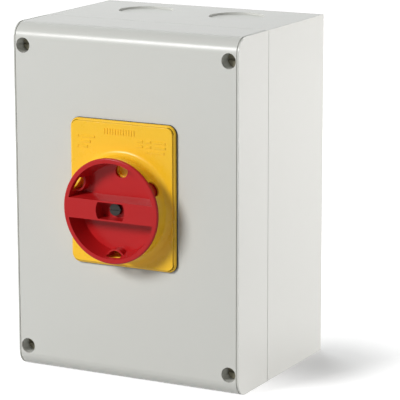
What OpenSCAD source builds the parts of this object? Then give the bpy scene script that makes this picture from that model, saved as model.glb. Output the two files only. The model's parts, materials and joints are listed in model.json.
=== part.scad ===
// Enclosed rotary isolator switch: a two-part wall box, a padlockable handle on a front plate
// and a stack of four contact decks driven by one square shaft.
// Lengths are millimetres. The origin is the middle of the wall-fixing holes on the back face.
// +Z is up, +X is to the right as seen from the front, and the front faces -Y.
// Every piece is drawn lying on the wall plane, so that its own z is the height above the wall,
// and is then stood up by on_wall().

/* [Enclosure] */
// Outer width of the box
box_w = 180; // [172:1:200]
// Outer height of the box
box_h = 254; // [240:1:290]
// Depth of the base, from the wall to the parting line
base_d = 92; // [90:0.5:110]
// Depth of the lid, from the parting line to its front face
lid_d = 46; // [40:1:60]
// Wall thickness of base and lid
wall = 3.5; // [3:0.1:4]
// Radius of the lid's rounded top and bottom front edges
front_edge_r = 11.5; // [8:0.5:14]
// Width of the line moulded along the lid's side edges
edge_line_w = 0.9; // [0.5:0.1:1.2]
// Depth of that line
edge_line_depth = 0.6; // [0.3:0.1:0.8]
// Distance of that line from the side face
edge_line_inset = 1; // [0.8:0.1:1.4]
// Height of the shadow gap between base and lid
seam_gap = 0.5; // [0.2:0.1:0.8]

/* [Seal between base and lid] */
// Thickness of the rim that carries the seal
rim_w = 7; // [6:0.5:9]
// Height of that rim
rim_h = 8; // [7:0.5:10]
// Distance of the seal groove from the outer face
groove_inset = 1.6; // [1.4:0.1:1.8]
// Width of the seal groove
groove_w = 3; // [2.6:0.1:3.2]
// Depth of the seal groove
groove_depth = 4.7; // [4:0.1:5.5]
// Thickness of the lid gasket
gasket_t = 1.2; // [0.8:0.1:1.6]
// Side clearance of the base's tongue in the groove
tongue_side_gap = 0.5; // [0.3:0.1:0.7]
// Clearance between the tongue and the gasket
tongue_top_gap = 0.2; // [0.1:0.05:0.5]

/* [Lid screws] */
// Distance of a lid screw from the side face
lid_screw_edge_x = 7.8; // [7.5:0.1:9]
// Distance of a lid screw from the top or bottom face
lid_screw_edge_y = 16; // [14:0.5:20]
// Radius of the recess over a lid screw
lid_recess_r = 5.5; // [5.3:0.1:6]
// Depth of that recess
lid_recess_depth = 12.5; // [8:0.5:14]
// Radius of a lid screw's head
lid_head_r = 5; // [4.6:0.1:5.1]
// Thickness of a lid screw's head
lid_head_t = 3.5; // [2.5:0.1:4]
// Radius of a lid screw's shank
lid_shank_r = 1.9; // [1.7:0.1:2]
// Clearance around a lid screw's shank
lid_shank_gap = 0.2; // [0.15:0.05:0.3]
// Depth of a lid screw below the parting line
lid_screw_reach = 11; // [9:0.5:12]
// Radius of a screw column in base and lid
column_r = 7; // [6.8:0.1:7.4]
// Width of the driver slot in a lid screw
lid_slot_w = 1.6; // [1:0.1:2]
// Depth of the driver slot in a lid screw
lid_slot_depth = 1.4; // [1:0.1:2]
// Outer radius of a brass insert
insert_r = 3; // [2.8:0.1:3.2]
// Length of a brass insert
insert_l = 12; // [10:0.5:14]

/* [Wall fixing and cable entries] */
// Distance between wall holes, side to side
wall_hole_x = 120; // [100:1:124]
// Distance between wall holes, top to bottom
wall_hole_y = 200; // [190:1:210]
// Radius of a wall hole
wall_hole_r = 3; // [2.5:0.1:3.5]
// Radius of the boss around a wall hole
wall_boss_r = 8; // [7:0.5:9]
// Height of that boss inside the box
wall_boss_h = 4; // [2:0.5:6]
// Radius of a cable knockout
knockout_r = 20.25; // [16:0.25:22]
// Depth of a knockout's outer recess
knockout_depth = 1.4; // [1:0.1:1.8]
// Distance between the two knockouts on a face
knockout_pitch = 75; // [64:1:84]
// Height of the knockouts above the wall
knockout_z = 37; // [36:0.5:50]

/* [Front plate] */
// Width of the front plate
plate_w = 84.5; // [80:0.5:90]
// Height of the front plate
plate_h = 105; // [100:0.5:112]
// Thickness of the front plate
plate_t = 3; // [2.6:0.1:4]
// Corner radius of the front plate
plate_corner_r = 6.5; // [4:0.5:9]
// Width of the lower step around the plate's edge
plate_step_w = 1.8; // [1:0.1:2.4]
// Depth of that step
plate_step_t = 1; // [0.5:0.1:1.4]
// Distance of the plate's middle above the handle's axis
plate_rise = 8.5; // [6:0.5:11]
// Thickness of the gasket under the plate
plate_gasket_t = 1; // [0.6:0.1:1.4]
// Width of gasket that shows around the plate
plate_gasket_lip = 0.2; // [0.2:0.1:1]
// Outer radius of the collar around the handle
collar_r = 36.8; // [36.2:0.1:37.2]
// Wall thickness of the collar
collar_wall = 1.6; // [1.4:0.1:1.8]
// Height of the collar above the plate
collar_h = 13.7; // [12.5:0.1:16]
// Height of the solid wall below the padlock notches
notch_floor = 5.5; // [4.5:0.1:6]
// Width of a padlock notch in the collar
notch_w = 11; // [9:0.5:12]
// Radius of the sighting boss under the handle
sight_boss_r = 5.4; // [5:0.1:5.8]
// Radius of the hole in that boss
sight_hole_r = 4; // [3:0.1:4.4]
// Radius of a screw boss behind the plate
plate_boss_r = 3.2; // [3:0.1:3.6]
// Distance of a boss from the plate's side edge
plate_boss_edge_x = 8.5; // [8:0.5:10]
// Distance of a boss from the plate's top or bottom edge
plate_boss_edge_y = 8.5; // [8:0.5:10]

/* [Handle] */
// Height of the handle's axis above the middle of the box
handle_y = 2; // [-4:0.5:6]
// Outer radius of the handle's rim
handle_r = 37.8; // [37.2:0.1:38.2]
// Thickness of the rim
rim_t = 3; // [2.5:0.1:4]
// Rounding of the rim's outer edges
rim_round = 1.3; // [0.6:0.1:1.4]
// Radial width of the rim's front ring
rim_ring_w = 3.5; // [3.3:0.1:3.9]
// Draft of the pockets, from the front to the floor
pocket_draft = 3.2; // [2.6:0.1:3.4]
// Thickness of the cup's floor
cup_floor_t = 2.5; // [2:0.1:3]
// Clearance between the cup and the collar
cup_gap = 0.3; // [0.2:0.05:0.5]
// Gap between the cup's underside and the plate
cup_lift = 0.8; // [0.6:0.1:1.2]
// Clearance between rim and collar
rim_gap = 0.3; // [0.2:0.05:0.5]
// Width of the grip bar at the front
bar_w = 14; // [13:0.5:15]
// Draft of each flank of the bar, from the front to the floor
bar_draft = 2; // [1:0.1:2.5]
// Radius of the round well in the bar
well_r = 11.5; // [10:0.5:13]
// Wall left on each side of the well
well_wall = 1; // [0.8:0.1:1.5]
// Depth of the well
well_depth = 10; // [9:0.5:10.5]
// Radius of a padlock slot through the cup's floor and wall
lock_slot_r = 6.5; // [6:0.1:7]
// Distance of a padlock slot's middle from the axis
lock_slot_at = 36; // [35.6:0.1:36.6]
// Wall of the half-round guide beside a padlock slot
lock_guide_wall = 1.2; // [1:0.1:1.5]
// Height of that guide above the cup's floor
lock_guide_h = 7; // [5:0.5:9]
// Radius of the sighting hole
sight_r = 5; // [4.6:0.1:5.3]
// Distance of the sighting hole from the axis
sight_at = 26.8; // [25:0.1:27.5]

/* [Handle driver] */
// Radius of the driver that turns in the front plate
driver_r = 11.95; // [11:0.05:12]
// Running clearance of the driver in the plate's bush
driver_gap = 0.05; // [0.03:0.01:0.09]
// Radius of the driver's flange behind the lid
driver_flange_r = 16; // [15:0.5:18]
// Thickness of that flange
driver_flange_t = 3.5; // [3:0.1:4]
// Width of the square tenon that turns the handle
tenon_w = 12; // [10:0.5:12]
// Height of that tenon
tenon_h = 3; // [2.5:0.1:3]
// Thickness of the retaining washer
retainer_t = 1.2; // [0.8:0.1:1.5]
// Clearance on each side of the retaining washer
retainer_gap = 0.2; // [0.1:0.05:0.3]
// Wall of the plate's bush around the driver
bush_wall = 1.6; // [1.2:0.1:2]
// Clearance of the bush in the lid
bush_gap = 0.3; // [0.1:0.1:0.5]
// Radius of the handle screw's shank
handle_screw_r = 2.4; // [2:0.1:2.5]
// Radius of the handle screw's head
handle_head_r = 4.3; // [4:0.1:4.8]
// Thickness of the handle screw's head
handle_head_t = 3; // [2:0.1:3.5]

/* [Shaft] */
// Width of the square shaft
shaft_w = 8; // [7:0.5:8]
// Side clearance of the shaft in its square holes
shaft_gap = 0.1; // [0.05:0.01:0.15]
// Depth to which the shaft enters the driver
shaft_in_driver = 8; // [6:0.5:9]

/* [Mounting plate] */
// Width of the steel mounting plate
tray_w = 130; // [126:1:140]
// Height of the steel mounting plate
tray_h = 150; // [148:1:160]
// Thickness of the steel mounting plate
tray_t = 2; // [1.5:0.1:3]
// Height of the bosses under the mounting plate
tray_boss_h = 6.5; // [6.5:0.5:8]
// Radius of those bosses
tray_boss_r = 5.5; // [5:0.1:6]
// Distance of a tray screw from the plate's edges
tray_screw_edge = 7; // [6:0.5:8]
// Radius of a small screw's shank
small_shank_r = 1.9; // [1.7:0.1:2]
// Radius of a small screw's head
small_head_r = 3.8; // [3.4:0.1:4]
// Thickness of a small screw's head
small_head_t = 2.6; // [2:0.1:3]

/* [Switch] */
// Width of the switch body
switch_w = 88; // [86:1:90]
// Height of the switch body
switch_h = 76; // [74:1:80]
// Thickness of the switch foot
foot_t = 8; // [8:0.5:9]
// Thickness of one deck
deck_t = 15; // [15:0.1:15.4]
// Thickness of the front cap
cap_t = 12; // [12:0.1:12.6]
// Radius of the contact chamber
chamber_r = 21; // [20.6:0.1:21.4]
// Thickness of a deck's floor
deck_floor = 2; // [1.8:0.1:2.1]
// Radius of a rotor's discs
rotor_r = 18; // [17:0.5:19]
// Radius of a rotor's hub
hub_r = 8.9; // [8.5:0.1:8.9]
// Running clearance of the rotor bearings
bearing_gap = 0.05; // [0.03:0.01:0.09]
// Distance between neighbouring terminals
terminal_pitch = 20; // [19:0.5:20]
// Thickness of a fixed contact
contact_t = 2.5; // [2.2:0.1:2.6]
// Width of a fixed contact's tongue
tongue_w = 10; // [8:0.5:10]
// Length of a tongue outside the switch body
tongue_l = 9; // [8.5:0.5:11]
// Thickness of a moving contact blade
blade_t = 1.2; // [1:0.05:1.25]
// Width of a moving contact blade
blade_w = 7; // [6:0.5:7.5]
// Length of a moving contact blade
blade_l = 39; // [37:0.5:40]
// Wall of a terminal clamp
clamp_wall = 2; // [1.5:0.1:2]
// Height of the cable space in a terminal clamp
clamp_mouth = 7.5; // [6:0.5:8]
// Radius of a terminal screw
terminal_screw_r = 2.95; // [2.5:0.05:3]
// Radius of a tie bolt
tie_bolt_r = 2; // [1.8:0.1:2.1]
// Distance of a tie bolt from the body's side
tie_edge_x = 4.5; // [4:0.1:4.8]
// Distance of a tie bolt from the body's top or bottom
tie_edge_y = 5; // [4.5:0.1:6]

/* [Detent] */
// Radius of the detent wheel
wheel_r = 14; // [13:0.5:15]
// Depth of the wheel's valleys
valley_depth = 1.6; // [1.2:0.1:1.8]
// Radius of a detent plunger
plunger_r = 3; // [2.8:0.1:3.1]
// Length of a plunger behind its round tip
plunger_l = 9; // [8:0.5:10]
// Radius of a detent spring's wire
spring_wire_r = 0.4; // [0.3:0.05:0.5]
// Turns of a detent spring
spring_turns = 6; // [5:1:7]

/* [Earth bar] */
// Length of the brass earth bar
earth_l = 60; // [50:1:70]
// Width of the earth bar
earth_w = 8; // [7:0.5:9]
// Thickness of the earth bar
earth_t = 8; // [7:0.5:9]
// Distance of the earth bar below the handle's axis
earth_drop = 62; // [60:0.5:64]
// Number of earth screws
earth_screw_count = 4; // [3:1:5]
// Radius of a wire hole through the earth bar
earth_hole_r = 2.3; // [1.8:0.1:2.5]

/* [Hidden] */
$fn = 64;

// Number of poles, with one deck, one rotor and one pair of terminals each
poles = 4;
// Overshoot of a cut past the face it opens, and of a piece into the one it joins
over = 1;
// Clearance between fixed pieces that are pushed together by hand
fit = 0.05;
// Clearance of a screw's shank in the piece that it clamps
screw_clear = 0.3;
// Smallest gap between the faces of two pieces that lie against each other and may turn
touch_gap = 0.1;
// Gap between two pieces that must not rub
air_gap = 0.3;

// Heights above the wall
front_z = base_d + lid_d;
lid_inner_z = front_z - wall;
recess_floor_z = front_z - lid_recess_depth;
tray_z = wall + tray_boss_h;
foot_z = tray_z + tray_t;
decks_z = foot_z + foot_t;
cap_z = decks_z + poles * deck_t;
cap_top_z = cap_z + cap_t;
plate_back_z = front_z + plate_gasket_t;
plate_front_z = plate_back_z + plate_t;
collar_top_z = plate_front_z + collar_h;
rim_back_z = collar_top_z + rim_gap;
handle_front_z = rim_back_z + rim_t;
cup_back_z = plate_front_z + cup_lift;
cup_floor_z = cup_back_z + cup_floor_t;
well_floor_z = handle_front_z - well_depth;

// Lid screws
lid_screw_x = box_w / 2 - lid_screw_edge_x;
lid_screw_y = box_h / 2 - lid_screw_edge_y;
lid_bore_r = lid_shank_r + lid_shank_gap;
seal_cover = 1.6;
seal_r = lid_head_r - seal_cover;
seal_t = 1.2;
insert_gap = 0.1;
insert_sink = 0.5;
insert_bore_l = insert_l + 2;

// Handle and front plate
plate_y = handle_y + plate_rise;
plate_boss_x = plate_w / 2 - plate_boss_edge_x;
plate_boss_y = plate_h / 2 - plate_boss_edge_y;
plate_boss_gap = 0.2;
plate_screw_r = 1.4;
plate_screw_l = 4;
plate_screw_bore_l = 5.3;
plate_head_r = plate_boss_r + 1.3;
sight_web = 1;
collar_in_r = collar_r - collar_wall;
cup_r = collar_in_r - cup_gap;
pocket_front_r = handle_r - rim_ring_w;
pocket_floor_r = pocket_front_r - pocket_draft;
bush_r = driver_r + driver_gap;
pocket_slope = pocket_draft / (handle_front_z - cup_floor_z);
bush_top_z = cup_back_z - air_gap;
bush_back_z = lid_inner_z + touch_gap;
lid_opening_r = bush_r + bush_wall + bush_gap;
lock_angles = [150, 270];
notch_angles = [30, 150, 270];
notch_z = plate_front_z + notch_floor;
sight_angle = 86;

// Driver
flange_top_z = lid_inner_z - retainer_t - 2 * retainer_gap;
flange_z = flange_top_z - driver_flange_t;
shaft_top_z = flange_z + shaft_in_driver;
socket_top_z = shaft_top_z + 1.5;
handle_screw_bottom_z = socket_top_z + 1;
handle_screw_gap = 0.2;
retainer_lip = 1.5;
seal_section = 1.5;
seal_z = lid_inner_z + 2;

// Switch
foot_floor = 2;
foot_bearing_z = foot_z + foot_floor;
shaft_bottom_z = foot_bearing_z + 1;
rotor_bottom_z = foot_bearing_z + 0.5;
bearing_r = hub_r + bearing_gap;
neck_gap = 0.4;
contact_up = 6;
contact_inner = 14;
contact_pad_w = 9;
chamber_wall = 1.5;
contact_bus_y = chamber_r + chamber_wall;
contact_bus_w = 7.5;
rib_gap = 0.5;
rib_r = contact_inner - rib_gap;
blade_eye_w = 1.1;
blade_eye_r = hub_r + blade_eye_w;
blade_slot_gap = 0.2;
wave_t = 1;
tie_x = switch_w / 2 - tie_edge_x;
tie_y = switch_h / 2 - tie_edge_y;
tie_gap = 0.15;
tie_head_r = 3.5;
tie_head_t = 3;
nut_r = 4;
nut_t = 3;
nut_lift = 0.2;
fin_t = 1.6;
fin_l = tongue_l + 2;
clamp_side_gap = 0.2;
clamp_lift = 0.5;
clamp_l = tongue_l - 0.4;
terminal_head_r = 4.2;
terminal_head_t = 3;
slot_w = 1.2;
slot_depth = 1;
ear_w = 16;
ear_t = 4;
ear_reach = 14;
ear_y = 26;
ear_screw_x = switch_w / 2 + ear_reach / 2;
ear_screw_l = ear_t + tray_t + 3;

// Mounting plate and earth bar
tray_screw_x = tray_w / 2 - tray_screw_edge;
tray_screw_y = tray_h / 2 - tray_screw_edge;
tray_bore_floor = 0.5;
earth_screw_l = earth_t + tray_t + 1;
earth_head_r = small_head_r - 0.5;
earth_pitch = earth_l / earth_screw_count;
earth_hole_at = earth_pitch / 4 + 1;

// Detent
wheel_lift = 1;
wheel_z = cap_z + wheel_lift;
cap_roof_t = 3;
cap_roof_z = cap_top_z - cap_roof_t;
wheel_t = cap_roof_z - wheel_z - 0.4;
wheel_chamber_r = wheel_r + 1.5;
detent_z = cap_z + 5;
valley_r = plunger_r + 1;
detent_wall = 6;
plunger_tip_x = wheel_r + touch_gap + plunger_r;
plunger_back_x = plunger_tip_x + plunger_l;
plunger_seat_x = switch_w / 2 - detent_wall;
spring_r = plunger_r - spring_wire_r - air_gap;
spring_x0 = plunger_back_x + spring_wire_r + touch_gap;
spring_x1 = plunger_seat_x - spring_wire_r - touch_gap;
spring_sides = 8;
spring_steps = 12;
spring_rings = spring_turns * spring_steps;

light_grey = [0.80, 0.80, 0.78];
signal_yellow = [0.99, 0.78, 0.22];
signal_red = [0.74, 0.18, 0.18];
olive_grey = [0.37, 0.36, 0.31];
black_plastic = [0.15, 0.15, 0.16];
grey_plastic = [0.45, 0.46, 0.47];
rubber_black = [0.08, 0.08, 0.08];
copper_tone = [0.78, 0.48, 0.32];
brass_tone = [0.80, 0.66, 0.35];
steel_tone = [0.70, 0.71, 0.72];

// ---------------------------------------------------------------- helpers

// Stands a piece drawn on the wall plane upright, with its front towards -Y
module on_wall()
    rotate([90, 0, 0]) children();

// A block centred in x and y, from height z0 to z1
module block(w, h, z0, z1)
    translate([-w / 2, -h / 2, z0]) cube([w, h, z1 - z0]);

// A round bar from height z0 to z1
module rod(r, z0, z1)
    translate([0, 0, z0]) cylinder(r = r, h = z1 - z0);

// A round tube from height z0 to z1
module tube(r_out, r_in, z0, z1)
    difference() {
        rod(r_out, z0, z1);
        rod(r_in, z0 - over, z1 + over);
    }

// A hollow rectangle from height z0 to z1, with walls that start at one inset and end at another
module frame_ring(inset_out, inset_in, z0, z1)
    difference() {
        block(box_w - 2 * inset_out, box_h - 2 * inset_out, z0, z1);
        block(box_w - 2 * inset_in, box_h - 2 * inset_in, z0 - over, z1 + over);
    }

// Repeats a piece at the four corners of a rectangle
module at_corners(x, y)
    for (sx = [-1, 1], sy = [-1, 1])
        translate([sx * x, sy * y, 0]) children();

// Places a piece on the handle's axis
module on_axis()
    translate([0, handle_y, 0]) children();

// A rounded rectangle, drawn flat
module rounded_rect(w, h, r) {
    square([w - 2 * r, h], center = true);
    square([w, h - 2 * r], center = true);
    for (sx = [-1, 1], sy = [-1, 1])
        translate([sx * (w / 2 - r), sy * (h / 2 - r)]) circle(r);
}

// A slotted screw with its head on height z: the shank reaches down, the head up
module screw(z, shank_r, shank_l, head_r, head_t, driver_w, driver_depth)
    difference() {
        union() {
            rod(shank_r, z - shank_l, z + over / 2);
            rod(head_r, z, z + head_t);
        }
        block(3 * head_r, driver_w, z + head_t - driver_depth, z + head_t + over);
    }

// ---------------------------------------------------------------- enclosure

// Side view of the lid: a rectangle with two rounded front corners
module lid_side(h, z0, z1, r) {
    translate([-h / 2, z0]) square([h, z1 - z0 - r]);
    translate([-h / 2 + r, z0]) square([h - 2 * r, z1 - z0]);
    for (s = [-1, 1])
        translate([s * (h / 2 - r), z1 - r]) circle(r);
}

// The lid's side view carried across a width
module lid_form(w, h, z0, z1, r)
    translate([-w / 2, 0, 0]) rotate([90, 0, 90]) linear_extrude(w) lid_side(h, z0, z1, r);

// The fine line along one side edge of the lid
module edge_line(side)
    translate([side * (box_w / 2 - edge_line_inset - edge_line_w / 2), 0, 0])
        difference() {
            block(edge_line_w, box_h + 2 * over, base_d + edge_line_depth, front_z + over);
            lid_form(
                edge_line_w + 2 * over, box_h - 2 * edge_line_depth,
                base_d - over, front_z - edge_line_depth, front_edge_r - edge_line_depth
            );
        }

module lid_body()
    difference() {
        union() {
            difference() {
                lid_form(box_w, box_h, base_d, front_z, front_edge_r);
                lid_form(
                    box_w - 2 * wall, box_h - 2 * wall,
                    base_d - over, lid_inner_z, front_edge_r - wall
                );
            }
            frame_ring(wall / 2, rim_w, base_d, base_d + rim_h);
            at_corners(lid_screw_x, lid_screw_y) rod(column_r, base_d, front_z - wall / 2);
        }
        frame_ring(groove_inset, groove_inset + groove_w, base_d - over, base_d + groove_depth);
        at_corners(lid_screw_x, lid_screw_y) {
            rod(lid_recess_r, recess_floor_z, front_z + over);
            rod(seal_r + fit, recess_floor_z - seal_t, recess_floor_z + over);
            rod(lid_bore_r, base_d - over, recess_floor_z + over);
        }
        on_axis() rod(lid_opening_r, lid_inner_z - over, front_z + over);
        translate([0, plate_y, 0]) at_corners(plate_boss_x, plate_boss_y)
            rod(plate_boss_r + plate_boss_gap, lid_inner_z - over, front_z + over);
        edge_line(1);
        edge_line(-1);
    }

module lid() color(light_grey) on_wall() lid_body();

// The recessed discs that are knocked out for a cable gland, on the top (1) or the bottom (-1)
module knockouts(side)
    for (s = [-1, 1])
        translate([s * knockout_pitch / 2, side * (box_h / 2 - knockout_depth), knockout_z])
            rotate([-side * 90, 0, 0]) cylinder(r = knockout_r, h = knockout_depth + over);

module base_body()
    difference() {
        union() {
            difference() {
                block(box_w, box_h, 0, base_d - seam_gap);
                block(box_w - 2 * wall, box_h - 2 * wall, wall, base_d);
            }
            frame_ring(groove_inset, rim_w, base_d - rim_h, base_d);
            frame_ring(
                groove_inset + tongue_side_gap, groove_inset + groove_w - tongue_side_gap,
                base_d - over, base_d + groove_depth - gasket_t - tongue_top_gap
            );
            at_corners(lid_screw_x, lid_screw_y) rod(column_r, wall / 2, base_d);
            at_corners(wall_hole_x / 2, wall_hole_y / 2)
                rod(wall_boss_r, wall / 2, wall + wall_boss_h);
            on_axis() at_corners(tray_screw_x, tray_screw_y)
                rod(tray_boss_r, wall / 2, tray_z);
        }
        at_corners(lid_screw_x, lid_screw_y) rod(insert_r, base_d - insert_bore_l, base_d + over);
        at_corners(wall_hole_x / 2, wall_hole_y / 2)
            rod(wall_hole_r, -over, wall + wall_boss_h + over);
        on_axis() at_corners(tray_screw_x, tray_screw_y)
            rod(small_shank_r + fit, wall / 2 + tray_bore_floor, tray_z + over);
        knockouts(1);
        knockouts(-1);
    }

module base_box() color(light_grey) on_wall() base_body();

module post_inserts()
    color(brass_tone) on_wall() at_corners(lid_screw_x, lid_screw_y)
        tube(
            insert_r - fit, lid_shank_r + insert_gap,
            base_d - insert_sink - insert_l, base_d - insert_sink
        );

module lid_gasket()
    color(rubber_black) on_wall()
        frame_ring(
            groove_inset + fit, groove_inset + groove_w - fit,
            base_d + groove_depth - gasket_t, base_d + groove_depth
        );

module lid_screws()
    color(olive_grey) on_wall() at_corners(lid_screw_x, lid_screw_y)
        screw(
            recess_floor_z, lid_shank_r, recess_floor_z - base_d + lid_screw_reach,
            lid_head_r, lid_head_t, lid_slot_w, lid_slot_depth
        );

module lid_screw_seals()
    color(rubber_black) on_wall() at_corners(lid_screw_x, lid_screw_y)
        tube(seal_r, lid_shank_r + fit, recess_floor_z - seal_t, recess_floor_z);

// ---------------------------------------------------------------- front plate

// The collar's padlock notches: slots with a round bottom, cut outwards through its wall
module lock_notches()
    for (a = notch_angles)
        rotate([0, 0, a]) translate([collar_in_r - over, 0, notch_z + notch_w / 2]) {
            rotate([0, 90, 0]) cylinder(r = notch_w / 2, h = collar_wall + 2 * over);
            translate([0, -notch_w / 2, 0]) cube([collar_wall + 2 * over, notch_w, collar_h]);
        }

// The plate's outline, grown by a lip
module plate_outline(grow)
    rounded_rect(plate_w + 2 * grow, plate_h + 2 * grow, plate_corner_r + grow);

module plate_body()
    difference() {
        union() {
            translate([0, plate_y, plate_back_z])
                linear_extrude(plate_t - plate_step_t) plate_outline(0);
            translate([0, plate_y, plate_back_z])
                linear_extrude(plate_t) plate_outline(-plate_step_w);
            on_axis() rod(bush_r + bush_wall, bush_back_z, bush_top_z);
            on_axis() rotate([0, 0, sight_angle]) translate([sight_at, 0, 0])
                rod(sight_boss_r, plate_back_z, bush_top_z);
            on_axis() difference() {
                tube(collar_r, collar_in_r, plate_front_z - plate_step_t, collar_top_z);
                lock_notches();
            }
            translate([0, plate_y, 0]) at_corners(plate_boss_x, plate_boss_y)
                rod(plate_boss_r, lid_inner_z, plate_back_z + over);
        }
        on_axis() rod(bush_r, bush_back_z - over, bush_top_z + over);
        on_axis() rotate([0, 0, sight_angle]) translate([sight_at, 0, 0])
            rod(sight_hole_r, plate_back_z + sight_web, bush_top_z + over);
        translate([0, plate_y, 0]) at_corners(plate_boss_x, plate_boss_y)
            rod(plate_screw_r + fit, lid_inner_z - over, lid_inner_z + plate_screw_bore_l);
    }

module front_plate() color(signal_yellow) on_wall() plate_body();

module plate_gasket()
    color(rubber_black) on_wall() difference() {
        translate([0, plate_y, front_z]) linear_extrude(plate_gasket_t)
            plate_outline(plate_gasket_lip);
        on_axis() rod(lid_opening_r, front_z - over, plate_back_z + over);
        translate([0, plate_y, 0]) at_corners(plate_boss_x, plate_boss_y)
            rod(plate_boss_r + fit, front_z - over, plate_back_z + over);
    }

// The screws enter the plate's bosses from inside the lid
module plate_screws()
    color(steel_tone) on_wall() translate([0, plate_y, 0]) at_corners(plate_boss_x, plate_boss_y)
        translate([0, 0, 2 * lid_inner_z]) mirror([0, 0, 1])
            screw(
                lid_inner_z, plate_screw_r, plate_screw_l,
                plate_head_r, small_head_t, slot_w, slot_depth
            );

// ---------------------------------------------------------------- handle

// The grip bar's section carried across the handle
module bar_prism()
    translate([-handle_r, 0, 0]) rotate([90, 0, 90]) linear_extrude(2 * handle_r)
        polygon([
            [-bar_w / 2 - bar_draft, cup_floor_z - over],
            [bar_w / 2 + bar_draft, cup_floor_z - over],
            [bar_w / 2, handle_front_z + over],
            [-bar_w / 2, handle_front_z + over]
        ]);

// The space inside the rim, above the cup's floor
module pocket_cone()
    translate([0, 0, cup_floor_z])
        cylinder(
            r1 = pocket_floor_r, r2 = pocket_front_r + over * pocket_slope,
            h = handle_front_z - cup_floor_z + over
        );

// The slot-shaped well in the middle of the bar, with round ends and a thin wall on each side
module well()
    intersection() {
        rod(well_r, well_floor_z, handle_front_z + over);
        block(2 * well_r, bar_w - 2 * well_wall, well_floor_z, handle_front_z + over);
    }

// The rim's disc with rounded outer edges, turned from its section
module rim_disc()
    rotate_extrude() {
        translate([0, rim_back_z]) square([handle_r - rim_round, rim_t]);
        translate([0, rim_back_z + rim_round]) square([handle_r, rim_t - 2 * rim_round]);
        for (z = [rim_back_z + rim_round, handle_front_z - rim_round])
            translate([handle_r - rim_round, z]) circle(rim_round);
    }

// A round bar from height z0 to z1 at each padlock slot
module at_locks(r, z0, z1)
    for (a = lock_angles)
        rotate([0, 0, a]) translate([lock_slot_at, 0, 0]) rod(r, z0, z1);

module handle_body()
    difference() {
        union() {
            rod(cup_r, cup_back_z, rim_back_z + over / 2);
            rim_disc();
        }
        difference() {
            pocket_cone();
            bar_prism();
            at_locks(lock_slot_r + lock_guide_wall, cup_floor_z - over, cup_floor_z + lock_guide_h);
        }
        well();
        at_locks(lock_slot_r, cup_back_z - over, rim_back_z);
        rotate([0, 0, sight_angle]) translate([sight_at, 0, 0])
            rod(sight_r, cup_back_z - over, cup_floor_z + over);
        block(tenon_w, tenon_w, cup_back_z - over, cup_back_z + tenon_h);
        rod(handle_screw_r + handle_screw_gap, cup_back_z, well_floor_z + over);
    }

module handle() color(signal_red) on_wall() on_axis() handle_body();

module handle_driver()
    color(black_plastic) on_wall() on_axis() difference() {
        union() {
            rod(driver_r, flange_z, cup_back_z);
            rod(driver_flange_r, flange_z, flange_top_z);
            block(tenon_w - 2 * fit, tenon_w - 2 * fit, cup_back_z - over, cup_back_z + tenon_h - 2 * fit);
        }
        tube(driver_r + over, driver_r - seal_section - fit, seal_z - fit, seal_z + seal_section + fit);
        block(shaft_w + 2 * shaft_gap, shaft_w + 2 * shaft_gap, flange_z - over, socket_top_z);
        rod(handle_screw_r + fit, socket_top_z - over, cup_back_z + tenon_h + over);
    }

module handle_screw()
    color(steel_tone) on_wall() on_axis()
        screw(
            well_floor_z, handle_screw_r, well_floor_z - handle_screw_bottom_z,
            handle_head_r, handle_head_t, slot_w, slot_depth
        );

module handle_retainer()
    color(steel_tone) on_wall() on_axis()
        tube(
            driver_flange_r + retainer_lip, driver_r + air_gap,
            flange_top_z + retainer_gap, lid_inner_z - retainer_gap
        );

module driver_seal()
    color(rubber_black) on_wall() on_axis()
        tube(driver_r, driver_r - seal_section, seal_z, seal_z + seal_section);

// ---------------------------------------------------------------- mounting plate and earth bar

module mounting_plate()
    color(steel_tone) on_wall() on_axis() difference() {
        block(tray_w, tray_h, tray_z, foot_z);
        at_corners(tray_screw_x, tray_screw_y)
            rod(small_shank_r + screw_clear, tray_z - over, foot_z + over);
        at_corners(ear_screw_x, ear_y) rod(small_shank_r + fit, tray_z - over, foot_z + over);
        for (i = [0 : earth_screw_count - 1])
            translate([earth_screw_at(i), -earth_drop, 0])
                rod(small_shank_r + fit, tray_z - over, foot_z + over);
    }

module mounting_plate_screws()
    color(steel_tone) on_wall() on_axis() at_corners(tray_screw_x, tray_screw_y)
        screw(
            foot_z, small_shank_r, foot_z - wall - tray_bore_floor,
            small_head_r, small_head_t, slot_w, slot_depth
        );

function earth_screw_at(i) = (i + 0.5) * earth_pitch - earth_l / 2;

module earth_bar()
    color(brass_tone) on_wall() on_axis() translate([0, -earth_drop, 0]) difference() {
        block(earth_l, earth_w, foot_z, foot_z + earth_t);
        for (i = [0 : earth_screw_count - 1])
            translate([earth_screw_at(i), 0, 0]) {
                rod(small_shank_r + fit, foot_z - over, foot_z + earth_t + over);
                translate([earth_hole_at, 0, foot_z + earth_t / 2])
                    rotate([90, 0, 0])
                        cylinder(r = earth_hole_r, h = earth_w + 2 * over, center = true);
            }
    }

module earth_screws()
    color(brass_tone) on_wall() on_axis() translate([0, -earth_drop, 0])
        for (i = [0 : earth_screw_count - 1])
            translate([earth_screw_at(i), 0, 0])
                screw(
                    foot_z + earth_t, small_shank_r, earth_screw_l,
                    earth_head_r, small_head_t, slot_w, slot_depth
                );

// ---------------------------------------------------------------- switch body

function deck_z(k) = decks_z + (k - 1) * deck_t;
function terminal_x(k) = (k - (poles + 1) / 2) * terminal_pitch;

module tie_holes(z0, z1)
    at_corners(tie_x, tie_y) rod(tie_bolt_r + tie_gap, z0 - over, z1 + over);

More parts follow.
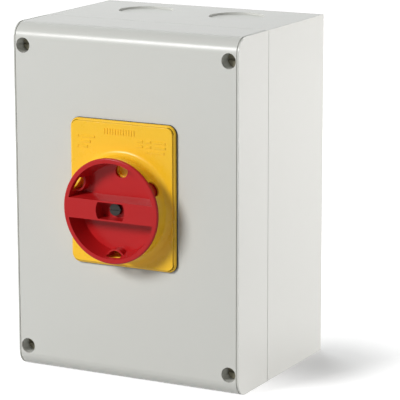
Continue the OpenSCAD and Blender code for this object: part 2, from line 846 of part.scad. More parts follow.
module switch_foot()
    color(black_plastic) on_wall() on_axis() difference() {
        union() {
            block(switch_w, switch_h, foot_z, decks_z);
            for (s = [-1, 1])
                translate([0, s * ear_y, 0])
                    block(switch_w + 2 * ear_reach, ear_w, foot_z, foot_z + ear_t);
        }
        rod(bearing_r, foot_bearing_z, decks_z + over);
        tie_holes(foot_z, decks_z);
        at_corners(tie_x, tie_y)
            translate([0, 0, foot_z - over])
                cylinder(r = nut_r + air_gap, h = nut_t + 2 * nut_lift + over, $fn = 6);
        at_corners(ear_screw_x, ear_y)
            rod(small_shank_r + screw_clear, foot_z - over, foot_z + ear_t + over);
    }

module switch_screws()
    color(steel_tone) on_wall() on_axis() at_corners(ear_screw_x, ear_y)
        screw(
            foot_z + ear_t, small_shank_r, ear_screw_l,
            small_head_r, small_head_t, slot_w, slot_depth
        );

// Outline of a fixed contact, grown by a clearance: a pad in the chamber, a bus bar that leads
// sideways and a tongue for the terminal
module contact_outline(k, grow) {
    x = terminal_x(k);
    left = min(0, x) - contact_pad_w / 2 - grow;
    right = max(0, x) + contact_pad_w / 2 + grow;
    translate([-contact_pad_w / 2 - grow, contact_inner - grow])
        square([contact_pad_w + 2 * grow, contact_bus_y + contact_bus_w - contact_inner + 2 * grow]);
    translate([left, contact_bus_y - grow]) square([right - left, contact_bus_w + 2 * grow]);
    translate([x - tongue_w / 2 - grow, contact_bus_y - grow])
        square([
            tongue_w + 2 * grow,
            switch_h / 2 + tongue_l - contact_bus_y + 2 * grow
        ]);
}

module deck_body(k)
    difference() {
        union() {
            block(switch_w, switch_h, deck_z(k), deck_z(k) + deck_t);
            for (side = [-1, 1], i = [-2 : 2])
                translate([i * terminal_pitch, side * (switch_h / 2 + fin_l / 2 - over / 2), 0])
                    block(fin_t, fin_l + over, deck_z(k), deck_z(k) + deck_t);
        }
        rod(chamber_r, deck_z(k) + deck_floor, deck_z(k) + deck_t + over);
        rod(hub_r + neck_gap, deck_z(k) - over, deck_z(k) + deck_floor + over);
        tie_holes(deck_z(k), deck_z(k) + deck_t);
        for (side = [0, 1])
            mirror([0, side, 0]) translate([0, 0, deck_z(k) + contact_up])
                linear_extrude(deck_t) contact_outline(k, touch_gap);
    }

module deck(k) color(k % 2 == 0 ? black_plastic : grey_plastic) on_wall() on_axis() deck_body(k);

module switch_cap()
    color(black_plastic) on_wall() on_axis() difference() {
        block(switch_w, switch_h, cap_z, cap_top_z);
        rod(wheel_chamber_r, cap_z - over, cap_roof_z);
        rod(bearing_r, cap_roof_z - over, cap_top_z + over);
        tie_holes(cap_z, cap_top_z);
        translate([-plunger_seat_x, 0, detent_z]) rotate([0, 90, 0])
            cylinder(r = plunger_r + fit, h = 2 * plunger_seat_x);
    }

module tie_bolts()
    color(steel_tone) on_wall() on_axis() at_corners(tie_x, tie_y)
        screw(
            cap_top_z, tie_bolt_r, cap_top_z - foot_z - 2 * nut_lift,
            tie_head_r, tie_head_t, slot_w, slot_depth
        );

module tie_nuts()
    color(steel_tone) on_wall() on_axis() at_corners(tie_x, tie_y) difference() {
        translate([0, 0, foot_z + nut_lift]) cylinder(r = nut_r, h = nut_t, $fn = 6);
        rod(tie_bolt_r + fit, foot_z - over, foot_z + nut_t + 2 * over);
    }

// side 0 is the line side at the top, side 1 the load side at the bottom
module fixed_contact(k, side)
    color(copper_tone) on_wall() on_axis() mirror([0, side, 0])
        translate([0, 0, deck_z(k) + contact_up]) linear_extrude(contact_t) contact_outline(k, 0);

// A clamp is a cage around a tongue, open along y, with the cable space behind the tongue
module clamp_cage(k) {
    tongue_z = deck_z(k) + contact_up;
    in_w = tongue_w + 2 * clamp_side_gap;
    in_top = tongue_z + contact_t + clamp_lift;
    translate([terminal_x(k), switch_h / 2 + tongue_l / 2, 0]) difference() {
        block(in_w + 2 * clamp_wall, clamp_l, tongue_z - clamp_mouth - clamp_wall, in_top + clamp_wall);
        block(in_w, clamp_l + 2 * over, tongue_z - clamp_mouth, in_top);
        rod(terminal_screw_r + fit, in_top - over, in_top + clamp_wall + over);
    }
}

module clamps(side)
    color(steel_tone) on_wall() on_axis() mirror([0, side, 0])
        for (k = [1 : poles]) clamp_cage(k);

module terminal_screws(side)
    color(steel_tone) on_wall() on_axis() mirror([0, side, 0])
        for (k = [1 : poles])
            translate([terminal_x(k), switch_h / 2 + tongue_l / 2, 0])
                screw(
                    deck_z(k) + contact_up + contact_t + clamp_lift + clamp_wall + touch_gap,
                    terminal_screw_r, clamp_lift + clamp_wall,
                    terminal_head_r, terminal_head_t, slot_w, slot_depth
                );

// ---------------------------------------------------------------- rotor

module shaft_hole(z0, z1)
    block(shaft_w + 2 * shaft_gap, shaft_w + 2 * shaft_gap, z0 - over, z1 + over);

module drive_shaft()
    color(steel_tone) on_wall() on_axis()
        block(shaft_w, shaft_w, shaft_bottom_z, shaft_top_z);

// Back face of the lower blade and front face of the upper blade in deck k
function blades_low(k) = deck_z(k) + contact_up - touch_gap - blade_t;
function blades_high(k) = deck_z(k) + contact_up + contact_t + touch_gap + blade_t;

// A rotor holds its contact blades between two discs, and its neck passes the deck's floor
module rotor(k) {
    neck_z = k == 1 ? rotor_bottom_z : deck_z(k) - deck_floor + touch_gap;
    top_z = deck_z(k) + deck_t - deck_floor;
    slot_z = blades_low(k) - touch_gap;
    color(grey_plastic) on_wall() on_axis() difference() {
        union() {
            rod(hub_r, neck_z, top_z);
            rod(rotor_r, deck_z(k) + deck_floor + air_gap, slot_z);
            rod(rotor_r, blades_high(k) + 2 * touch_gap + wave_t, top_z);
            difference() {
                rod(rib_r, slot_z - over, blades_high(k));
                rod(blade_eye_r + blade_slot_gap, slot_z, blades_high(k) + over);
                block(blade_l, blade_w + 2 * blade_slot_gap, slot_z, blades_high(k) + over);
            }
        }
        shaft_hole(neck_z, top_z);
    }
}

// One flat blade with an eye around the rotor's hub
module blade(z)
    difference() {
        union() {
            block(blade_l, blade_w, z, z + blade_t);
            rod(blade_eye_r, z, z + blade_t);
        }
        rod(hub_r + touch_gap, z - over, z + blade_t + over);
    }

// Two blades pinch the fixed contacts between them
module moving_contact(k)
    color(copper_tone) on_wall() on_axis() {
        blade(blades_low(k));
        blade(blades_high(k) - blade_t);
    }

// A flat spring ring presses the blades together in each deck
module contact_springs()
    color(steel_tone) on_wall() on_axis()
        for (k = [1 : poles])
            tube(
                rib_r - air_gap, hub_r + touch_gap,
                blades_high(k) + touch_gap, blades_high(k) + touch_gap + wave_t
            );

// ---------------------------------------------------------------- detent

// A wheel with four valleys, whose hub reaches down to the last rotor and up through the cap
module detent_wheel()
    color(grey_plastic) on_wall() on_axis() difference() {
        union() {
            rod(wheel_r, wheel_z, wheel_z + wheel_t);
            rod(hub_r, cap_z - deck_floor + touch_gap, cap_top_z + over / 2);
        }
        for (a = [0 : 90 : 270])
            rotate([0, 0, a]) translate([wheel_r - valley_depth + valley_r, 0, 0])
                rod(valley_r, wheel_z - over, wheel_z + wheel_t + over);
        shaft_hole(cap_z - deck_floor, cap_top_z + over / 2);
    }

// A round plunger with a ball end that rides on the wheel
module detent_plunger(side)
    color(steel_tone) on_wall() on_axis() translate([0, 0, detent_z]) mirror([side < 0 ? 1 : 0, 0, 0]) {
        translate([plunger_tip_x, 0, 0]) rotate([0, 90, 0]) cylinder(r = plunger_r, h = plunger_l);
        translate([plunger_tip_x, 0, 0]) sphere(plunger_r);
    }

// A coil spring between the plunger and the cap, swept along its helix
function spring_point(i, j) =
    let (
        turn = 360 * i / spring_steps,
        x = spring_x0 + (spring_x1 - spring_x0) * i / spring_rings,
        side = 360 * j / spring_sides,
        r = spring_r + spring_wire_r * cos(side)
    )
    [x + spring_wire_r * sin(side), r * cos(turn), r * sin(turn)];

module coil()
    polyhedron(
        points = [for (i = [0 : spring_rings], j = [0 : spring_sides - 1]) spring_point(i, j)],
        faces = concat(
            [[for (j = [0 : spring_sides - 1]) j]],
            [[for (j = [spring_sides - 1 : -1 : 0]) spring_rings * spring_sides + j]],
            [for (i = [0 : spring_rings - 1], j = [0 : spring_sides - 1])
                let (
                    a = i * spring_sides + j,
                    b = i * spring_sides + (j + 1) % spring_sides
                )
                [a, a + spring_sides, b + spring_sides, b]]
        )
    );

module detent_spring(side)
    color(steel_tone) on_wall() on_axis() translate([0, 0, detent_z])
        rotate([0, 0, side < 0 ? 180 : 0]) coil();

// ---------------------------------------------------------------- nodes

base_box();
post_inserts();
mounting_plate();
mounting_plate_screws();
switch_foot();
switch_screws();
deck(1);  // deck_1
deck(2);  // deck_2
deck(3);  // deck_3
deck(4);  // deck_4
switch_cap();
tie_bolts();
tie_nuts();
fixed_contact(1, 0);  // line_contact_1
fixed_contact(2, 0);  // line_contact_2
fixed_contact(3, 0);  // line_contact_3
fixed_contact(4, 0);  // line_contact_4
fixed_contact(1, 1);  // load_contact_1
fixed_contact(2, 1);  // load_contact_2
fixed_contact(3, 1);  // load_contact_3
fixed_contact(4, 1);  // load_contact_4
clamps(0);  // line_clamps
clamps(1);  // load_clamps
terminal_screws(0);  // line_terminal_screws
terminal_screws(1);  // load_terminal_screws
earth_bar();
earth_screws();
lid();
lid_gasket();
lid_screws();
lid_screw_seals();
front_plate();
plate_gasket();
plate_screws();
handle();
handle_driver();
handle_screw();
handle_retainer();
driver_seal();
drive_shaft();
rotor(1);  // rotor_1
rotor(2);  // rotor_2
rotor(3);  // rotor_3
rotor(4);  // rotor_4
moving_contact(1);  // moving_contact_1
moving_contact(2);  // moving_contact_2
moving_contact(3);  // moving_contact_3
moving_contact(4);  // moving_contact_4
contact_springs();
detent_wheel();
detent_plunger(-1);  // detent_plunger_left
detent_plunger(1);  // detent_plunger_right
detent_spring(-1);  // detent_spring_left
detent_spring(1);  // detent_spring_right
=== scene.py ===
"""Looks of an enclosed rotary isolator switch: a light grey moulded box, a signal yellow front plate
and a signal red handle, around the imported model.

Lengths are metres. +Z is up, the front faces -Y and the back lies on the plane Y = 0.
"""
import json
import math

import bmesh
import bpy
import numpy as np
from mathutils import Matrix, Vector


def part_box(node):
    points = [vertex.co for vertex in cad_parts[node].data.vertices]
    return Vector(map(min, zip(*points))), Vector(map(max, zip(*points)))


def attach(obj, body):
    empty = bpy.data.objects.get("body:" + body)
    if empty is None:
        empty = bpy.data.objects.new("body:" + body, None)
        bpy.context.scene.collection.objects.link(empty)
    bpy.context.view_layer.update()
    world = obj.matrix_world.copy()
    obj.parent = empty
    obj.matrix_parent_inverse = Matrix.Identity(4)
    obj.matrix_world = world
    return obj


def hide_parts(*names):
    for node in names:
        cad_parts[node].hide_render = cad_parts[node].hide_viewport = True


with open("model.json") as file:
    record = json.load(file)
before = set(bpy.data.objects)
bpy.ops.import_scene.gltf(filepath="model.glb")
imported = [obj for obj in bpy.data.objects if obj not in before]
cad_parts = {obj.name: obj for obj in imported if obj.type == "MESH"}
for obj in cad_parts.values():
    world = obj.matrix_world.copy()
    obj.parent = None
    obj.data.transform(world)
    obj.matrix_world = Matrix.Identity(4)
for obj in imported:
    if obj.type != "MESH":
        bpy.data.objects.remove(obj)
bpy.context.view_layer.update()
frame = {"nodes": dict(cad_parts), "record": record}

MM = 0.001


# ---------------------------------------------------------------- places, from the frame

BASE_LOW, BASE_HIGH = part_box("base_box")
PLATE_LOW, PLATE_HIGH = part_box("front_plate")
HANDLE_LOW, HANDLE_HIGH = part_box("handle")
AXIS_X = (HANDLE_LOW.x + HANDLE_HIGH.x) / 2
AXIS_Z = (HANDLE_LOW.z + HANDLE_HIGH.z) / 2
HANDLE_FRONT = HANDLE_LOW.y
PLATE_T = 3 * MM
PLATE_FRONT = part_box("plate_gasket")[0].y - PLATE_T
PLATE_MID_Z = (PLATE_LOW.z + PLATE_HIGH.z) / 2
COLLAR_R = 36.8 * MM


# ---------------------------------------------------------------- colours

def srgb(red, green, blue):
    """A colour given in 0 to 255 steps, as the linear values that shaders take."""
    steps = np.array([red, green, blue]) / 255
    linear = np.where(steps <= 0.04045, steps / 12.92, ((steps + 0.055) / 1.055) ** 2.4)
    return (*linear.tolist(), 1.0)


# ---------------------------------------------------------------- shader helpers

def group_sockets(group, inputs, outputs):
    """Adds named sockets to a node group: inputs are (name, kind, default), outputs (name, kind)."""
    for name, kind, default in inputs:
        socket = group.interface.new_socket(name=name, in_out="INPUT", socket_type=kind)
        socket.default_value = default
    for name, kind in outputs:
        group.interface.new_socket(name=name, in_out="OUTPUT", socket_type=kind)


def add_node(tree, kind, **settings):
    """A node of one kind, with its plain settings made."""
    node = tree.nodes.new(kind)
    for key, value in settings.items():
        setattr(node, key, value)
    return node


def noise(tree, vector, scale, detail=2.0, roughness=0.5):
    """A noise texture on a vector."""
    node = add_node(tree, "ShaderNodeTexNoise")
    node.inputs["Detail"].default_value = detail
    node.inputs["Roughness"].default_value = roughness
    tree.links.new(vector, node.inputs["Vector"])
    if isinstance(scale, (int, float)):
        node.inputs["Scale"].default_value = scale
    else:
        tree.links.new(scale, node.inputs["Scale"])
    return node.outputs["Fac"]


def maths(tree, operation, a, b):
    """One sum of two values, each a socket or a number."""
    node = add_node(tree, "ShaderNodeMath", operation=operation)
    for socket, value in zip(node.inputs, (a, b)):
        if isinstance(value, (int, float)):
            socket.default_value = value
        else:
            tree.links.new(value, socket)
    return node.outputs[0]


def mix_colour(tree, factor, a, b):
    """A blend of two colours, each a socket."""
    node = add_node(tree, "ShaderNodeMix", data_type="RGBA")
    tree.links.new(factor, node.inputs["Factor"])
    tree.links.new(a, node.inputs["A"])
    tree.links.new(b, node.inputs["B"])
    return node.outputs["Result"]


def spread(tree, value, low, high):
    """Maps a value from 0..1 onto low..high."""
    node = add_node(tree, "ShaderNodeMapRange")
    node.inputs["To Min"].default_value = low
    node.inputs["To Max"].default_value = high
    tree.links.new(value, node.inputs["Value"])
    return node.outputs["Result"]


def ramp(tree, value, start, stop, low, high):
    """A smooth step of a value: low below start, high above stop."""
    node = add_node(tree, "ShaderNodeMapRange", interpolation_type="SMOOTHSTEP")
    node.inputs["From Min"].default_value = start
    node.inputs["From Max"].default_value = stop
    node.inputs["To Min"].default_value = low
    node.inputs["To Max"].default_value = high
    tree.links.new(value, node.inputs["Value"])
    return node.outputs["Result"]


def reach(tree, place, centre):
    """The distance of a place from a centre."""
    node = add_node(tree, "ShaderNodeVectorMath", operation="DISTANCE")
    node.inputs[1].default_value = centre
    tree.links.new(place, node.inputs[0])
    return node.outputs["Value"]


def moulded_skin_group():
    """Skin of a moulded plastic: a slow drift of tone, faint flow clouds and a fine spark-eroded grain."""
    group = bpy.data.node_groups.new("moulded_skin", "ShaderNodeTree")
    group_sockets(
        group,
        [
            ("Colour", "NodeSocketColor", (0.5, 0.5, 0.5, 1)),
            ("Shade", "NodeSocketColor", (0.4, 0.4, 0.4, 1)),
            ("Grain per metre", "NodeSocketFloat", 1600.0),
            ("Tone", "NodeSocketFloat", 0.3),
            ("Gloss low", "NodeSocketFloat", 0.36),
            ("Gloss high", "NodeSocketFloat", 0.48),
        ],
        [("Colour", "NodeSocketColor"), ("Roughness", "NodeSocketFloat"), ("Height", "NodeSocketFloat")],
    )
    enter = add_node(group, "NodeGroupInput")
    leave = add_node(group, "NodeGroupOutput")
    place = add_node(group, "ShaderNodeTexCoord").outputs["Object"]
    drift = noise(group, place, 14.0, 3.0)
    clouds = noise(group, place, 90.0, 4.0, 0.6)
    grain = noise(group, place, enter.outputs["Grain per metre"], 2.0, 0.7)
    tone = maths(group, "MULTIPLY", maths(group, "ADD", maths(group, "MULTIPLY", drift, 0.6),
                                          maths(group, "MULTIPLY", clouds, 0.4)), enter.outputs["Tone"])
    speck = maths(group, "MULTIPLY", grain, 0.15)
    factor = maths(group, "ADD", tone, maths(group, "MULTIPLY", speck, enter.outputs["Tone"]))
    colour = mix_colour(group, factor, enter.outputs["Colour"], enter.outputs["Shade"])
    gloss = add_node(group, "ShaderNodeMapRange")
    group.links.new(clouds, gloss.inputs["Value"])
    group.links.new(enter.outputs["Gloss low"], gloss.inputs["To Min"])
    group.links.new(enter.outputs["Gloss high"], gloss.inputs["To Max"])
    group.links.new(colour, leave.inputs["Colour"])
    group.links.new(gloss.outputs["Result"], leave.inputs["Roughness"])
    group.links.new(grain, leave.inputs["Height"])
    return group


def worked_metal_group():
    """Skin of rolled or drawn metal: long fine scratches along Z, and blotches of dulled plating."""
    group = bpy.data.node_groups.new("worked_metal", "ShaderNodeTree")
    group_sockets(
        group,
        [
            ("Colour", "NodeSocketColor", (0.7, 0.7, 0.7, 1)),
            ("Dull", "NodeSocketColor", (0.5, 0.5, 0.5, 1)),
            ("Scratches per metre", "NodeSocketFloat", 2500.0),
            ("Roughness low", "NodeSocketFloat", 0.25),
            ("Roughness high", "NodeSocketFloat", 0.45),
        ],
        [("Colour", "NodeSocketColor"), ("Roughness", "NodeSocketFloat"), ("Height", "NodeSocketFloat")],
    )
    enter = add_node(group, "NodeGroupInput")
    leave = add_node(group, "NodeGroupOutput")
    place = add_node(group, "ShaderNodeTexCoord").outputs["Object"]
    stretch = add_node(group, "ShaderNodeMapping")
    stretch.inputs["Scale"].default_value = (1.0, 1.0, 0.05)
    group.links.new(place, stretch.inputs["Vector"])
    scratches = noise(group, stretch.outputs["Vector"], enter.outputs["Scratches per metre"], 3.0, 0.7)
    blotches = noise(group, place, 160.0, 4.0, 0.6)
    colour = mix_colour(group, blotches, enter.outputs["Colour"], enter.outputs["Dull"])
    rough = add_node(group, "ShaderNodeMapRange")
    group.links.new(maths(group, "ADD", maths(group, "MULTIPLY", scratches, 0.6),
                          maths(group, "MULTIPLY", blotches, 0.4)), rough.inputs["Value"])
    group.links.new(enter.outputs["Roughness low"], rough.inputs["To Min"])
    group.links.new(enter.outputs["Roughness high"], rough.inputs["To Max"])
    group.links.new(colour, leave.inputs["Colour"])
    group.links.new(rough.outputs["Result"], leave.inputs["Roughness"])
    group.links.new(scratches, leave.inputs["Height"])
    return group


MOULDED = moulded_skin_group()
WORKED = worked_metal_group()


def skin_material(name, group, values, bump, bump_distance, **shader):
    """A material whose colour, roughness and fine relief come from one of the skin groups."""
    material = bpy.data.materials.new(name)
    material.use_nodes = True
    tree = material.node_tree
    principled = tree.nodes["Principled BSDF"]
    skin = add_node(tree, "ShaderNodeGroup", node_tree=group)
    for key, value in values.items():
        skin.inputs[key].default_value = value
    relief = add_node(tree, "ShaderNodeBump")
    relief.inputs["Strength"].default_value = bump
    relief.inputs["Distance"].default_value = bump_distance
    tree.links.new(skin.outputs["Height"], relief.inputs["Height"])
    tree.links.new(skin.outputs["Colour"], principled.inputs["Base Color"])
    tree.links.new(skin.outputs["Roughness"], principled.inputs["Roughness"])
    tree.links.new(relief.outputs["Normal"], principled.inputs["Normal"])
    for key, value in shader.items():
        principled.inputs[key.replace("_", " ")].default_value = value
    return material


def plastic(name, colour, shade, grain=1600.0, tone=0.35, gloss=(0.38, 0.5), bump=0.12, sheen=0.5):
    """A moulded plastic."""
    return skin_material(
        name, MOULDED,
        {"Colour": colour, "Shade": shade, "Grain per metre": grain, "Tone": tone,
         "Gloss low": gloss[0], "Gloss high": gloss[1]},
        bump, 0.05 * MM, Specular_IOR_Level=sheen,
    )


def metal(name, colour, dull, rough=(0.22, 0.42), scratches=2500.0):
    """A bright metal with the marks of its making."""
    return skin_material(
        name, WORKED,
        {"Colour": colour, "Dull": dull, "Scratches per metre": scratches,
         "Roughness low": rough[0], "Roughness high": rough[1]},
        0.15, 0.03 * MM, Metallic=1.0,
    )


MATERIALS = {
    "housing_grey": plastic(
        "housing_grey", srgb(216, 217, 212), srgb(208, 208, 202), 1500.0, 0.4, (0.2, 0.28), sheen=0.25
    ),
    "signal_yellow": plastic(
        "signal_yellow", srgb(255, 203, 46), srgb(248, 192, 38), 2200.0, 0.4, (0.24, 0.32), sheen=0.3
    ),
    "signal_red": plastic(
        "signal_red", srgb(192, 32, 34), srgb(176, 26, 30), 2200.0, 0.4, (0.2, 0.28), sheen=0.2
    ),
    "screw_olive": plastic(
        "screw_olive", srgb(146, 142, 122), srgb(130, 126, 108), 2600.0, 0.6, (0.45, 0.6)
    ),
    "moulding_black": plastic(
        "moulding_black", srgb(38, 38, 40), srgb(30, 30, 31), 1400.0, 0.6, (0.45, 0.6), 0.25
    ),
    "moulding_grey": plastic(
        "moulding_grey", srgb(120, 122, 124), srgb(104, 106, 108), 1400.0, 0.6, (0.45, 0.6), 0.25
    ),
    "seal_rubber": plastic(
        "seal_rubber", srgb(30, 30, 30), srgb(22, 22, 22), 900.0, 0.8, (0.6, 0.8), 0.4
    ),
    "contact_copper": metal("contact_copper", srgb(214, 150, 116), srgb(178, 118, 88)),
    "brass": metal("brass", srgb(216, 186, 116), srgb(178, 148, 84)),
    "zinc_steel": metal("zinc_steel", srgb(205, 208, 212), srgb(160, 162, 162)),
}


def paint_well_shade_near_axis(material):
    """Painted shade in the handle's well: the screw paint's colour, times a smooth step of its distance
    from the handle's front on the axis, falls to near black there, standing in for the well's shade."""
    full_shade_within, unshaded_from, least = 20 * MM, 30 * MM, 0.05
    tree = material.node_tree
    principled = tree.nodes["Principled BSDF"]
    paint = principled.inputs["Base Color"].links[0].from_socket
    place = add_node(tree, "ShaderNodeTexCoord").outputs["Object"]
    from_axis = reach(tree, place, (AXIS_X, HANDLE_FRONT, AXIS_Z))
    kept = ramp(tree, from_axis, full_shade_within, unshaded_from, least, 1.0)
    well_shade = add_node(tree, "ShaderNodeVectorMath", operation="SCALE")
    tree.links.new(paint, well_shade.inputs[0])
    tree.links.new(kept, well_shade.inputs["Scale"])
    tree.links.new(well_shade.outputs["Vector"], principled.inputs["Base Color"])


# Painted shade: the screw in the handle's well darkens to near black towards the handle's axis.
paint_well_shade_near_axis(MATERIALS["screw_olive"])


# ---------------------------------------------------------------- refined copies of the moulded shells

MERGE_REACH = 0.002 * MM
FLAT_WITHIN = math.radians(0.4)
SHARP_FROM = math.radians(38.0)


def weigh_edges(build, shares):
    """Bevel weights: a sharp edge takes the largest share whose test both its ends pass, and the whole
    only where it turns outward. An edge that passes no test stays a sharp line."""
    layer = build.edges.layers.float.new("bevel_weight_edge")
    for edge in build.edges:
        if len(edge.link_faces) == 2 and edge.calc_face_angle() > SHARP_FROM:
            passed = [share for share, test in shares if all(test(end.co) for end in edge.verts)]
            if not edge.is_convex:
                passed = [share for share in passed if share < 1]
            edge[layer] = max(passed, default=0.0)
            edge.smooth = bool(passed)


def refine(node, body, slot, width, shares=None):
    """A copy of a packed shell, merged and cleaned, with its sharp edges rounded to a moulding's radius.
    Where shares are given, each group of edges takes its own part of the rounding."""
    source = frame["nodes"][node]
    mesh = source.data.copy()
    mesh.name = node + "_shell"
    build = bmesh.new()
    build.from_mesh(mesh)
    bmesh.ops.remove_doubles(build, verts=build.verts, dist=MERGE_REACH)
    bmesh.ops.dissolve_limit(build, angle_limit=FLAT_WITHIN, verts=build.verts, edges=build.edges)
    if shares:
        weigh_edges(build, shares)
    for face in build.faces:
        face.smooth = True
    build.to_mesh(mesh)
    build.free()
    if mesh.has_custom_normals:
        mesh.normals_split_custom_set(np.zeros((len(mesh.loops), 3)).tolist())
    piece = bpy.data.objects.new(node + "_shell", mesh)
    bpy.context.scene.collection.objects.link(piece)
    mesh.materials.clear()
    mesh.materials.append(MATERIALS[slot])
    rounding = piece.modifiers.new("rounded_edges", "BEVEL")
    rounding.width = width
    rounding.segments = 3
    rounding.limit_method = "WEIGHT" if shares else "ANGLE"
    rounding.angle_limit = SHARP_FROM
    rounding.miter_outer = "MITER_ARC"
    rounding.use_clamp_overlap = not shares
    weighted = piece.modifiers.new("flat_faces_stay_flat", "WEIGHTED_NORMAL")
    weighted.keep_sharp = True
    weighted.weight = 100
    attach(piece, body)
    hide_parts(node)


SKIN = 1.2 * MM
PLATE_CORNER = 9 * MM
PLATE_STEP = PLATE_FRONT + 1 * MM
PLATE_STEP_WITHIN = 0.05 * MM
SHELL_ROUNDING = 0.3 * MM
HANDLE_ROUNDING = 0.5 * MM
OUTLINE_ROUNDING = 1.6 * MM


def on_side(point):
    """Whether a point lies on the outside of the box's four sides."""
    return abs(point.x) > BASE_HIGH.x - SKIN or abs(point.z) > BASE_HIGH.z - SKIN


def on_plate_outline(point):
    """Whether a point lies on the outline of the plate's front face."""
    outside = (
        abs(point.x) > PLATE_HIGH.x - PLATE_CORNER
        or abs(point.z - PLATE_MID_Z) > PLATE_HIGH.z - PLATE_MID_Z - PLATE_CORNER
    )
    return outside and abs(point.y - PLATE_STEP) < PLATE_STEP_WITHIN


def anywhere(point):
    """Every point."""
    return True


refine("lid", "lid", "housing_grey", SHELL_ROUNDING)
refine("base_box", "base", "housing_grey", SHELL_ROUNDING, [(1.0, on_side)])
refine(
    "front_plate", "lid", "signal_yellow", OUTLINE_ROUNDING,
    [(1.0, on_plate_outline), (SHELL_ROUNDING / OUTLINE_ROUNDING, anywhere)],
)
refine("handle", "handle", "signal_red", HANDLE_ROUNDING)


# ---------------------------------------------------------------- blend at the collar's foot

def collar_fillet(radius=4.5 * MM, sunk=0.2 * MM, steps=10, turns=128):
    """The hollow rounding between the plate and the collar. Its section is a quarter circle that curves
    from the collar's wall down to the plate, closed by a corner sunk a little in both; the ring is that
    section turned about the handle's axis."""
    angle = np.linspace(0, np.pi / 2, steps)
    section_r = np.append(COLLAR_R + radius * (1 - np.cos(angle)), COLLAR_R - sunk)
    section_y = np.append(PLATE_FRONT - radius * (1 - np.sin(angle)), PLATE_FRONT + sunk)
    around = np.linspace(0, 2 * np.pi, turns, endpoint=False)
    x = AXIS_X + section_r[None] * np.cos(around)[:, None]
    z = AXIS_Z + section_r[None] * np.sin(around)[:, None]
    y = np.broadcast_to(section_y, x.shape)
    points = np.stack([x, y, z], axis=-1).reshape(-1, 3)
    count = steps + 1
    ring, place = np.meshgrid(np.arange(turns), np.arange(count), indexing="ij")
    ahead, beside = (ring + 1) % turns, (place + 1) % count
    faces = np.stack(
        [ring * count + place, ring * count + beside, ahead * count + beside, ahead * count + place], axis=-1
    ).reshape(-1, 4)
    mesh = bpy.data.meshes.new("collar_fillet")
    mesh.from_pydata(points.tolist(), [], faces.tolist())
    mesh.materials.append(MATERIALS["signal_yellow"])
    mesh.shade_smooth()
    build = bmesh.new()
    build.from_mesh(mesh)
    bmesh.ops.recalc_face_normals(build, faces=build.faces)
    for edge in build.edges:
        edge.smooth = edge.calc_face_angle() < math.radians(30)
    build.to_mesh(mesh)
    build.free()
    piece = bpy.data.objects.new("collar_fillet", mesh)
    bpy.context.scene.collection.objects.link(piece)
    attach(piece, "lid")


collar_fillet()


# ---------------------------------------------------------------- raised marks on the front plate

def mark_mesh(name, centres, sizes, height, chamfer):
    """Raised marks on the plate's front: each is a flat-topped bar whose four sides lean in by the
    chamfer. A bar's corners are its centre plus the unit square's corners times its size, at the foot,
    and times its size less two chamfers, at the top."""
    square = np.array([[-1, -1], [1, -1], [1, 1], [-1, 1]]) / 2
    centres = np.asarray(centres, float)
    sizes = np.asarray(sizes, float)
    foot = centres[:, None, :] + square[None] * sizes[:, None, :]
    top = centres[:, None, :] + square[None] * (sizes[:, None, :] - 2 * chamfer)
    flat = np.concatenate([foot, top], axis=1)
    sunk = 0.05 * MM
    depth = np.repeat([PLATE_FRONT + sunk, PLATE_FRONT - height], 4)
    depth = np.broadcast_to(depth, flat.shape[:2])
    points = np.stack([flat[..., 0], depth, flat[..., 1]], axis=-1).reshape(-1, 3)
    sides = [[i, (i + 1) % 4, 4 + (i + 1) % 4, 4 + i] for i in range(4)]
    faces = np.array([[3, 2, 1, 0], [4, 5, 6, 7]] + sides)
    faces = (faces[None] + 8 * np.arange(len(centres))[:, None, None]).reshape(-1, 4)
    mesh = bpy.data.meshes.new(name)
    mesh.from_pydata(points.tolist(), [], faces.tolist())
    return mesh


def rows_of_marks(left, top, pitch, rows, mark_h, gap):
    """Centres and sizes of rows of plain marks that start at one corner. Each row holds its own inset
    and then its marks' lengths."""
    centres, sizes = [], []
    for row, (inset, *marks) in enumerate(rows):
        x = left + inset
        for mark in marks:
            centres.append((x + mark / 2, top - row * pitch))
            sizes.append((mark, mark_h))
            x += mark + gap
    return centres, sizes


def plate_marks():
    """Plain raised marks above the handle: a row of ribs, and two blocks of short bars beside it."""
    block_top = PLATE_HIGH.z - 12.6 * MM
    bar_pitch = 3.6 * MM
    bar_h = 1.8 * MM
    ribs = rows_of_marks(
        AXIS_X - 14.2 * MM, PLATE_HIGH.z - 7.6 * MM, 0, [[0] + [1.2 * MM] * 12], 4.2 * MM, 0.95 * MM
    )
    left = rows_of_marks(
        PLATE_LOW.x + 5.5 * MM, block_top, bar_pitch,
        [[0, 2.4 * MM, 11 * MM], [3.5 * MM, 8.5 * MM], [0, 2.4 * MM, 5.5 * MM]], bar_h, 1.8 * MM,
    )
    long_row = [0, 5 * MM, 4.2 * MM, 9 * MM]
    right = rows_of_marks(
        PLATE_HIGH.x - 30 * MM, block_top, bar_pitch,
        [long_row, long_row, [7 * MM, 15 * MM]], bar_h, 2.4 * MM,
    )
    centres = ribs[0] + left[0] + right[0]
    sizes = ribs[1] + left[1] + right[1]
    mesh = mark_mesh("plate_marks", centres, sizes, height=0.4 * MM, chamfer=0.2 * MM)
    mesh.materials.append(MATERIALS["signal_yellow"])
    piece = bpy.data.objects.new("plate_marks", mesh)
    bpy.context.scene.collection.objects.link(piece)
    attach(piece, "lid")


plate_marks()


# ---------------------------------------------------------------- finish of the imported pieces

def finish_packed_pieces():
    """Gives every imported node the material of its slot."""
    slots = {entry["node"]: entry["material_slot"] for entry in frame["record"]["subparts"]}
    for name, piece in frame["nodes"].items():
        if not piece.material_slots:
            piece.data.materials.append(MATERIALS[slots[name]])
        for slot in piece.material_slots:
            slot.material = MATERIALS[slots[name]]


finish_packed_pieces()


# ---------------------------------------------------------------- studio

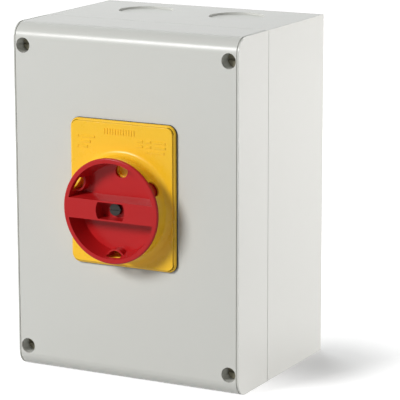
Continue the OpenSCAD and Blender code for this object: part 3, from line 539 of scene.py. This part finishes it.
def camera():
    """A long lens from the front right, a little above the box and looking down on it."""
    place = (0.7795, -1.5095, 0.352)
    yaw, pitch, roll = math.radians(27.68), math.radians(12.37), math.radians(-0.12)
    level = Vector((-math.sin(yaw), math.cos(yaw), 0))
    right = Vector((math.cos(yaw), math.sin(yaw), 0))
    forward = level * math.cos(pitch) - Vector((0, 0, math.sin(pitch)))
    up = right.cross(forward)
    turned_right = right * math.cos(roll) + up * math.sin(roll)
    turned_up = up * math.cos(roll) - right * math.sin(roll)
    data = bpy.data.cameras.new("camera")
    data.lens = 205.9
    data.sensor_width = 36
    data.clip_end = 50
    view = bpy.data.objects.new("camera", data)
    bpy.context.scene.collection.objects.link(view)
    axes = Matrix((turned_right, turned_up, -forward)).transposed()
    view.matrix_world = Matrix.Translation(place) @ axes.to_4x4()
    bpy.context.scene.camera = view


def soft_lamp(name, place, aim, width, height, power, colour=(1, 1, 1), mirrored=True):
    """A rectangular soft box at one place, facing a point; one that isn't mirrored gives no highlights."""
    data = bpy.data.lights.new(name, "AREA")
    data.shape = "RECTANGLE"
    data.size = width
    data.size_y = height
    data.energy = power
    data.color = colour
    lamp = bpy.data.objects.new(name, data)
    lamp.visible_glossy = mirrored
    lamp.matrix_world = Matrix.Translation(place) @ (
        (Vector(place) - Vector(aim)).to_track_quat("Z", "Y").to_matrix().to_4x4()
    )
    bpy.context.scene.collection.objects.link(lamp)


def floor():
    """A white floor. To the eye it also glows, most far away, so that it goes over into the surround. Beside
    the box's right foot the glow is least: that dim pool is a painted shadow, laid over the shadow the lamps
    cast there."""
    size = 12.0
    painted_shadow_at, painted_shadow_r = (0.1, -0.035, BASE_LOW.z), 0.1
    painted_shadow_glow, open_glow = 0.25, 0.75
    fade_from, fade_to, far_glow = 0.4, 1.6, 0.2
    mesh = bpy.data.meshes.new("floor")
    corners = np.array([[-1, -1], [1, -1], [1, 1], [-1, 1]]) * size / 2
    points = np.column_stack([corners, np.full(4, BASE_LOW.z)])
    mesh.from_pydata(points.tolist(), [], [[0, 1, 2, 3]])
    piece = bpy.data.objects.new("floor", mesh)
    bpy.context.scene.collection.objects.link(piece)
    material = bpy.data.materials.new("floor_white")
    material.use_nodes = True
    tree = material.node_tree
    principled = tree.nodes["Principled BSDF"]
    principled.inputs["Base Color"].default_value = (0.62, 0.62, 0.62, 1)
    principled.inputs["Roughness"].default_value = 0.9
    principled.inputs["Specular IOR Level"].default_value = 0.0
    principled.inputs["Emission Color"].default_value = (1, 1, 1, 1)
    place = add_node(tree, "ShaderNodeTexCoord").outputs["Object"]
    # Painted shadow: the glow is least in a pool beside the box's right foot, darkening the cast shadow
    # there.
    near = ramp(tree, reach(tree, place, painted_shadow_at), 0.0, painted_shadow_r, painted_shadow_glow, open_glow)
    far = ramp(tree, reach(tree, place, (0, 0, 0)), fade_from, fade_to, 0.0, far_glow)
    glow = maths(tree, "MULTIPLY", seen_by_eye(tree), maths(tree, "ADD", near, far))
    tree.links.new(glow, principled.inputs["Emission Strength"])
    mesh.materials.append(material)


def seen_by_eye(tree):
    """One for what the camera sees, plainly or in gloss or through glass, and nought for light."""
    path = add_node(tree, "ShaderNodeLightPath")
    seen = maths(tree, "MAXIMUM", path.outputs["Is Camera Ray"], path.outputs["Is Glossy Ray"])
    return maths(tree, "MAXIMUM", seen, path.outputs["Is Transmission Ray"])


def surround():
    """A surround that looks white and gives only a faint light."""
    light, look = 0.07, 1.0
    world = bpy.data.worlds.new("surround")
    world.use_nodes = True
    tree = world.node_tree
    background = tree.nodes["Background"]
    background.inputs["Color"].default_value = (1, 1, 1, 1)
    tree.links.new(spread(tree, seen_by_eye(tree), light, look), background.inputs["Strength"])
    bpy.context.scene.world = world


def lamps():
    """A large key light from the front left, a side light from the right and a small one from above."""
    middle = (0, -0.08, 0)
    soft_lamp("key_light", (-1.64, -3.18, 1.92), middle, 1.2, 1.1, 127)
    soft_lamp("side_light", (1.5, 0.8, 0.08), middle, 0.9, 0.4, 26.5, (1, 0.98, 0.985))
    soft_lamp("over_light", (-0.6, 0.75, 0.9), middle, 0.6, 0.6, 7.2, (0.96, 1, 1), mirrored=False)


camera()
floor()
surround()
lamps()
bpy.context.scene.view_settings.view_transform = "Standard"
